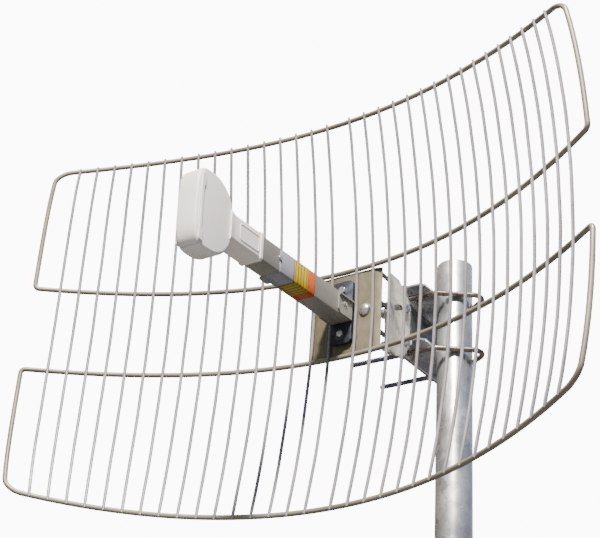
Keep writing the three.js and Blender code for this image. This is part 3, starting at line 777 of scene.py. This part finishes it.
# ---- feed ----
def head_outline(offset, count=120):
    """The D outline of the head in y, z: blunt front, rounder back."""
    points = []
    for i in range(count):
        angle = 2 * math.pi * i / count
        c, s = math.cos(angle), math.sin(angle)
        power = 3.6 if c < 0 else 2.3
        depth = (HEAD_FRONT if c < 0 else HEAD_BACK) - offset
        points.append((
            HEAD_MID_Y + depth * math.copysign(abs(c) ** (2 / power), c),
            (HEAD_HALF_Z - offset) * math.copysign(abs(s) ** (2 / power), s),
        ))
    return points


def drum(bm, offset, edge):
    """The head's closed skin, with a rounded edge where side meets rim."""
    half = HEAD_HALF_X - offset
    right = []
    for i in range(7):
        angle = math.pi / 2 * i / 6
        right.append((half - edge * (1 - math.cos(angle)), offset + edge * (1 - math.sin(angle))))
    right.sort()
    stations = [(-x, inset) for x, inset in reversed(right)] + right
    loft(bm, [[on_boom(x, y, z) for y, z in head_outline(inset)] for x, inset in stations])


def cut(bm, y, keep_front):
    """Open the skin at a plane across the boom's direction."""
    normal = DROOP @ Vector((0, 1, 0))
    bmesh.ops.bisect_plane(
        bm, geom=bm.verts[:] + bm.edges[:] + bm.faces[:], plane_co=on_boom(0, y, 0), plane_no=normal,
        clear_outer=keep_front, clear_inner=not keep_front)


def rounded_section(half_x, half_z, radius, steps=6):
    points = []
    for quarter, (sx, sz) in enumerate(((1, 1), (-1, 1), (-1, -1), (1, -1))):
        for i in range(steps + 1):
            angle = math.pi / 2 * (quarter + i / steps)
            points.append((sx * (half_x - radius) + radius * math.cos(angle),
                           sz * (half_z - radius) + radius * math.sin(angle)))
    return points


def add_wall(obj, thickness):
    """Thicken an open skin inwards."""
    wall = obj.modifiers.new("wall", "SOLIDIFY")
    wall.thickness = thickness * MM
    wall.offset = -1


def build_head_shell(name, keep_front, y, node, body):
    """The half of the head in front of a plane, or the half behind it."""
    bm = bmesh.new()
    drum(bm, 0.0, 4.2)
    cut(bm, y, keep_front)
    add_wall(piece(name, bm, WHITE, body, [node]), SHELL_T)


def build_head_lip():
    """The rear shell's spigot that the cover slides over."""
    bm = bmesh.new()
    drum(bm, SHELL_T + GAP, 3.0)
    cut(bm, SEAM_Y - 4, False)
    cut(bm, SEAM_Y + 3, True)
    add_wall(piece("head_lip", bm, WHITE, "dish"), LIP_T)


def build_neck():
    """Square neck: flares into the head, ends in a stepped rim over the boom."""
    start = BOOM_END - GAP
    front = HEAD_MID_Y + HEAD_BACK - 8
    sections = [(start, -2.2), (start, 0.6), (start - 0.5, 1.2), (start - 5.4, 1.2), (start - 6.0, 0.6),
                (start - 6.2, 0.0), (front + 17, 0.0), (front + 12, 0.15), (front + 8, 0.6), (front, 2.2)]
    rings = [[on_boom(x, y, z) for x, z in rounded_section(NECK_X + grow, NECK_Z + grow, 3.4)]
             for y, grow in sections]
    bm = bmesh.new()
    loft(bm, rings)
    piece("feed_neck", bm, WHITE, "dish", ["feed_rear_shell"])


def build_neck_panels():
    """A raised border round a sunken flat on each side of the neck."""
    steps = [  # half length, half height, corner radius, height off the neck
        (22.0, 12.6, 4.5, -0.4), (22.0, 12.6, 4.5, 0.35), (21.4, 12.0, 4.0, 0.7),
        (20.4, 11.0, 3.2, 0.7), (20.0, 10.6, 3.0, 0.15), (19.0, 9.6, 2.6, 0.1),
    ]
    for name, sign in (("left", -1), ("right", 1)):
        rings = []
        for half_y, half_z, radius, lift in steps:
            outline = rounded_section(half_y, half_z, radius)
            rings.append([on_boom(sign * (NECK_X + lift), PANEL_MID_Y + y, z) for y, z in outline])
        bm = bmesh.new()
        loft(bm, rings)
        piece(f"neck_panel_{name}", bm, WHITE, "dish")


def build_cover_strip():
    """The raised edge strip of the front cover, its band along the seam and its latch tabs."""
    half = HEAD_HALF_X
    bm = bmesh.new()
    for sign in (-1, 1):
        rings = []
        for lift, inset in ((0.0, 0.0), (1.3, 0.25), (1.6, 1.0), (1.6, 5.2), (1.3, 5.9), (0.0, 6.2)):
            rings.append([on_boom(sign * (half - 0.35 + lift), y, z)
                          for y, z in head_outline(inset + 4.0)])
        loft(bm, rings, closed=True)
    cut(bm, SEAM_Y - GAP, True)
    # each block: distance out from the head's side, y, z, and its size in x, y and z
    band = (1.0, SEAM_Y - 2.4, -3.0, (2.0, 4.2, 92.0))
    tabs = [(1.0, SEAM_Y - 0.8, z, (1.6, 6.4, 16.0)) for z in (36.0, -42.0)]
    for out, y, z, size in [band] + tabs:
        for sign in (-1, 1):
            shape = Matrix.Diagonal((*(side * MM for side in size), 1))
            place = Matrix.Translation(on_boom(sign * (half + out), y, z)) @ DROOP.to_4x4() @ shape
            bmesh.ops.create_cube(bm, size=1.0, matrix=place)
    obj = piece("cover_strip", bm, WHITE, "feed_cover")
    bevel = obj.modifiers.new("edge", "BEVEL")
    bevel.width = 0.3 * MM
    bevel.segments = 2


def build_feed():
    build_head_shell("head_rear", False, SEAM_Y, "feed_rear_shell", "dish")
    build_head_shell("head_front", True, SEAM_Y - 2 * GAP, "feed_front_cover", "feed_cover")
    build_head_lip()
    build_neck()
    build_neck_panels()
    build_cover_strip()


# ---- labels on the boom ----
def wrap_path(skin):
    """Across the boom's section from high on the +X side, round the edge, along the underside."""
    half_x, half_z, radius = BOOM_X + skin, BOOM_Z + skin, 2.5
    points = [(half_x, 15.0), (half_x, -half_z + radius)]
    for i in range(7):
        angle = -math.pi / 2 * i / 6
        points.append((half_x - radius + radius * math.cos(angle),
                       radius - half_z + radius * math.sin(angle)))
    points += [(0.0, -half_z), (-13.0, -half_z)]
    return points


def build_label(name, start, end, material):
    """A thin film wrapped round the boom's lower right edge."""
    bm = bmesh.new()
    rows = []
    for i in range(LABEL_STEPS + 1):
        y = start + (end - start) * i / LABEL_STEPS
        rows.append([bm.verts.new(on_boom(x, y, z)) for x, z in wrap_path(LABEL_SKIN)])
    for first, second in zip(rows, rows[1:]):
        for i in range(len(first) - 1):
            bm.faces.new((first[i], first[i + 1], second[i + 1], second[i]))
    obj = piece(name, bm, material, "dish")
    film = obj.modifiers.new("film", "SOLIDIFY")
    film.thickness = LABEL_T * MM
    film.offset = 0


def build_labels():
    build_label("label_silver", -187.0, -151.2, SILVER_FILM)
    build_label("label_yellow", -151.0, -116.1, YELLOW_FILM)
    build_label("label_orange", -116.0, -101.0, ORANGE_FILM)


# ---- carried-over CAD nodes ----
def smooth_group():
    """Geometry nodes that shade smooth except across edges sharper than 30 degrees."""
    group = bpy.data.node_groups.new("smooth_by_angle", "GeometryNodeTree")
    group.interface.new_socket("Geometry", in_out="INPUT", socket_type="NodeSocketGeometry")
    group.interface.new_socket("Geometry", in_out="OUTPUT", socket_type="NodeSocketGeometry")
    source = group.nodes.new("NodeGroupInput")
    target = group.nodes.new("NodeGroupOutput")
    merge = group.nodes.new("GeometryNodeMergeByDistance")
    merge.inputs["Distance"].default_value = 1e-6
    faces = group.nodes.new("GeometryNodeSetShadeSmooth")
    edges = group.nodes.new("GeometryNodeSetShadeSmooth")
    edges.domain = "EDGE"
    edges.inputs["Shade Smooth"].default_value = False
    angle = group.nodes.new("GeometryNodeInputMeshEdgeAngle")
    compare = group.nodes.new("FunctionNodeCompare")
    compare.operation = "GREATER_THAN"
    compare.inputs[1].default_value = math.radians(30)
    group.links.new(source.outputs[0], merge.inputs["Geometry"])
    group.links.new(merge.outputs[0], faces.inputs["Geometry"])
    group.links.new(faces.outputs[0], edges.inputs["Geometry"])
    group.links.new(angle.outputs["Unsigned Angle"], compare.inputs[0])
    group.links.new(compare.outputs[0], edges.inputs["Selection"])
    group.links.new(edges.outputs[0], target.inputs[0])
    return group


SMOOTH = smooth_group()


def dress(node, material, edge=0.5):
    """Give a CAD node its material, rounded edges and smooth shading."""
    obj = frame["nodes"][node]
    for material_slot in obj.material_slots:
        material_slot.link = "OBJECT"
        material_slot.material = material
    if edge:
        bevel = obj.modifiers.new("edge", "BEVEL")
        bevel.width = edge * MM
        bevel.segments = 2
        bevel.limit_method = "ANGLE"
        bevel.angle_limit = math.radians(40)
    smooth = obj.modifiers.new("smooth", "NODES")
    smooth.node_group = SMOOTH


def dress_nodes():
    # the arm's darkened zinc is painted shade
    dress("mast_arm", ZINC_PAINTED_SHADE, 0.6)
    dress("tilt_bracket", CHEEK_ZINC, 0.6)
    for level in ("upper", "lower"):
        dress(f"clamp_saddle_{level}", GALVANISED, 0.6)
    for node in ("pivot_spacer", "lock_spacer"):
        dress(node, GALVANISED, 0.3)
    dress("back_plate", BEIGE, 0.4)
    dress("boom_foot", CAST_BLACK, 0.6)
    dress("boom_clip", GREY_PAINT, 0.3)
    dress("boom_housing", GREY_PAINT, 0.3)
    dress("feed_board", BOARD, 0.1)
    dress("feed_dipole", COPPER, 0.4)


# ---- floor, light, camera ----
SKY = 0.9
BACKDROP = 11.0
KEY = 620.0
BACK = KEY * 0.22
FLOOR_SEEN = 0.86
FLOOR_BOUNCE = 0.10
FLOOR_SOLID = 0.5  # metres from the mast's axis: no fade up to here
FLOOR_GONE = 2.2  # and nothing left from here on
CAMERA_OFFSET = Vector((0.974, -1.499, -0.911))  # metres from the dish's middle
CAMERA_FORWARD = Vector((-0.505, 0.717, 0.481))
CAMERA_DOWN = Vector((-0.222, 0.430, -0.875))
LENS = 83.3
SENSOR = 36.0
SKY_RISE = [(0.30, (0.12, 0.105, 0.09)), (0.75, (0.78, 0.84, 0.97))]
SKY_AROUND = [(0.12, (0.17, 0.13, 0.095)), (0.5, (1.0, 1.0, 1.0)), (0.76, (0.24, 0.29, 0.42))]


def floor_fade(nodes, links):
    """0 on the floor near the mast; 1 far from it, and everywhere from below."""
    place = nodes.new("ShaderNodeTexCoord")
    distance = nodes.new("ShaderNodeVectorMath")
    distance.operation = "LENGTH"
    fade = nodes.new("ShaderNodeMapRange")
    fade.interpolation_type = "SMOOTHSTEP"
    fade.inputs["From Min"].default_value = FLOOR_SOLID
    fade.inputs["From Max"].default_value = FLOOR_GONE
    side = nodes.new("ShaderNodeNewGeometry")
    hidden = nodes.new("ShaderNodeMath")
    hidden.operation = "MAXIMUM"
    links.new(place.outputs["Object"], distance.inputs[0])
    links.new(distance.outputs["Value"], fade.inputs["Value"])
    links.new(fade.outputs[0], hidden.inputs[0])
    links.new(side.outputs["Backfacing"], hidden.inputs[1])
    return hidden.outputs[0]


def floor_material():
    """Pale to the camera, darker to everything else, and clear where it has faded."""
    material = bpy.data.materials.new("floor")
    material.use_nodes = True
    nodes, links = material.node_tree.nodes, material.node_tree.links
    surface = nodes["Principled BSDF"]
    surface.inputs["Roughness"].default_value = 0.85
    seen = nodes.new("ShaderNodeLightPath").outputs["Is Camera Ray"]
    tone = nodes.new("ShaderNodeMapRange")
    tone.inputs["To Min"].default_value = FLOOR_BOUNCE
    tone.inputs["To Max"].default_value = FLOOR_SEEN
    both = nodes.new("ShaderNodeMath")
    both.operation = "MULTIPLY"
    clear = nodes.new("ShaderNodeBsdfTransparent")
    blend = nodes.new("ShaderNodeMixShader")
    links.new(seen, tone.inputs["Value"])
    links.new(tone.outputs[0], surface.inputs["Base Color"])
    links.new(seen, both.inputs[0])
    links.new(floor_fade(nodes, links), both.inputs[1])
    links.new(both.outputs[0], blend.inputs[0])
    links.new(surface.outputs[0], blend.inputs[1])
    links.new(clear.outputs[0], blend.inputs[2])
    links.new(blend.outputs[0], nodes["Material Output"].inputs["Surface"])
    return material


def build_floor():
    """A pale floor that throws little light back up and fades into the backdrop."""
    bpy.ops.mesh.primitive_plane_add(size=12, location=(0, 0, 0))
    floor = bpy.context.object
    floor.name = "floor"
    floor.data.materials.append(floor_material())


def aim(obj, target):
    obj.rotation_euler = (target - obj.location).to_track_quat("-Z", "Y").to_euler()


def area_light(name, offset, size, power, color=(1, 1, 1)):
    data = bpy.data.lights.new(name, "AREA")
    data.shape = "SQUARE"
    data.size = size
    data.energy = power
    data.color = color
    light = bpy.data.objects.new(name, data)
    bpy.context.collection.objects.link(light)
    light.location = VERTEX + Vector(offset)
    aim(light, VERTEX)


def sky_color(nodes, links):
    """Bright above and dim below, times warm and dark on the left and cool on the right."""
    place = nodes.new("ShaderNodeTexCoord")
    split = nodes.new("ShaderNodeSeparateXYZ")
    product = nodes.new("ShaderNodeMix")
    product.data_type = "RGBA"
    product.blend_type = "MULTIPLY"
    product.inputs[0].default_value = 1.0
    links.new(place.outputs["Generated"], split.inputs[0])
    for axis, stops, index in (("Z", SKY_RISE, 6), ("X", SKY_AROUND, 7)):
        scale = nodes.new("ShaderNodeMapRange")
        scale.inputs["From Min"].default_value = -1.0
        ramp = nodes.new("ShaderNodeValToRGB")
        set_stops(ramp, stops)
        links.new(split.outputs[axis], scale.inputs["Value"])
        links.new(scale.outputs[0], ramp.inputs[0])
        links.new(ramp.outputs[0], product.inputs[index])
    return product.outputs[2]


def build_world():
    """White to the camera; to everything else a soft sky."""
    world = bpy.data.worlds.new("studio")
    bpy.context.scene.world = world
    world.use_nodes = True
    nodes, links = world.node_tree.nodes, world.node_tree.links
    sky = nodes["Background"]
    sky.inputs["Strength"].default_value = SKY
    white = nodes.new("ShaderNodeBackground")
    white.inputs["Color"].default_value = (1, 1, 1, 1)
    white.inputs["Strength"].default_value = BACKDROP
    ray = nodes.new("ShaderNodeLightPath")
    pick = nodes.new("ShaderNodeMixShader")
    links.new(sky_color(nodes, links), sky.inputs["Color"])
    links.new(ray.outputs["Is Camera Ray"], pick.inputs[0])
    links.new(sky.outputs[0], pick.inputs[1])
    links.new(white.outputs[0], pick.inputs[2])
    links.new(pick.outputs[0], nodes["World Output"].inputs["Surface"])


def build_light():
    build_world()
    area_light("key", offset=(1.1, -2.3, 2.7), size=0.35, power=KEY, color=(1.0, 0.94, 0.85))
    area_light("back", offset=(-1.4, 3.4, 2.0), size=1.6, power=BACK)


def build_camera():
    """A viewpoint below the dish, in front and to its right."""
    forward = CAMERA_FORWARD.normalized()
    right = CAMERA_DOWN.cross(forward).normalized()
    up = right.cross(forward).normalized()
    data = bpy.data.cameras.new("camera")
    data.lens = LENS
    data.sensor_width = SENSOR
    camera = bpy.data.objects.new("camera", data)
    bpy.context.collection.objects.link(camera)
    turn = Matrix((right, up, -forward)).transposed().to_4x4()
    camera.matrix_world = Matrix.Translation(VERTEX + CAMERA_OFFSET) @ turn
    bpy.context.scene.camera = camera


build_wires()
build_frame_rods()
build_welds()
build_mast()
build_ubolts()
build_fasteners()
build_feed()
build_labels()
dress_nodes()
build_floor()
build_light()
build_camera()
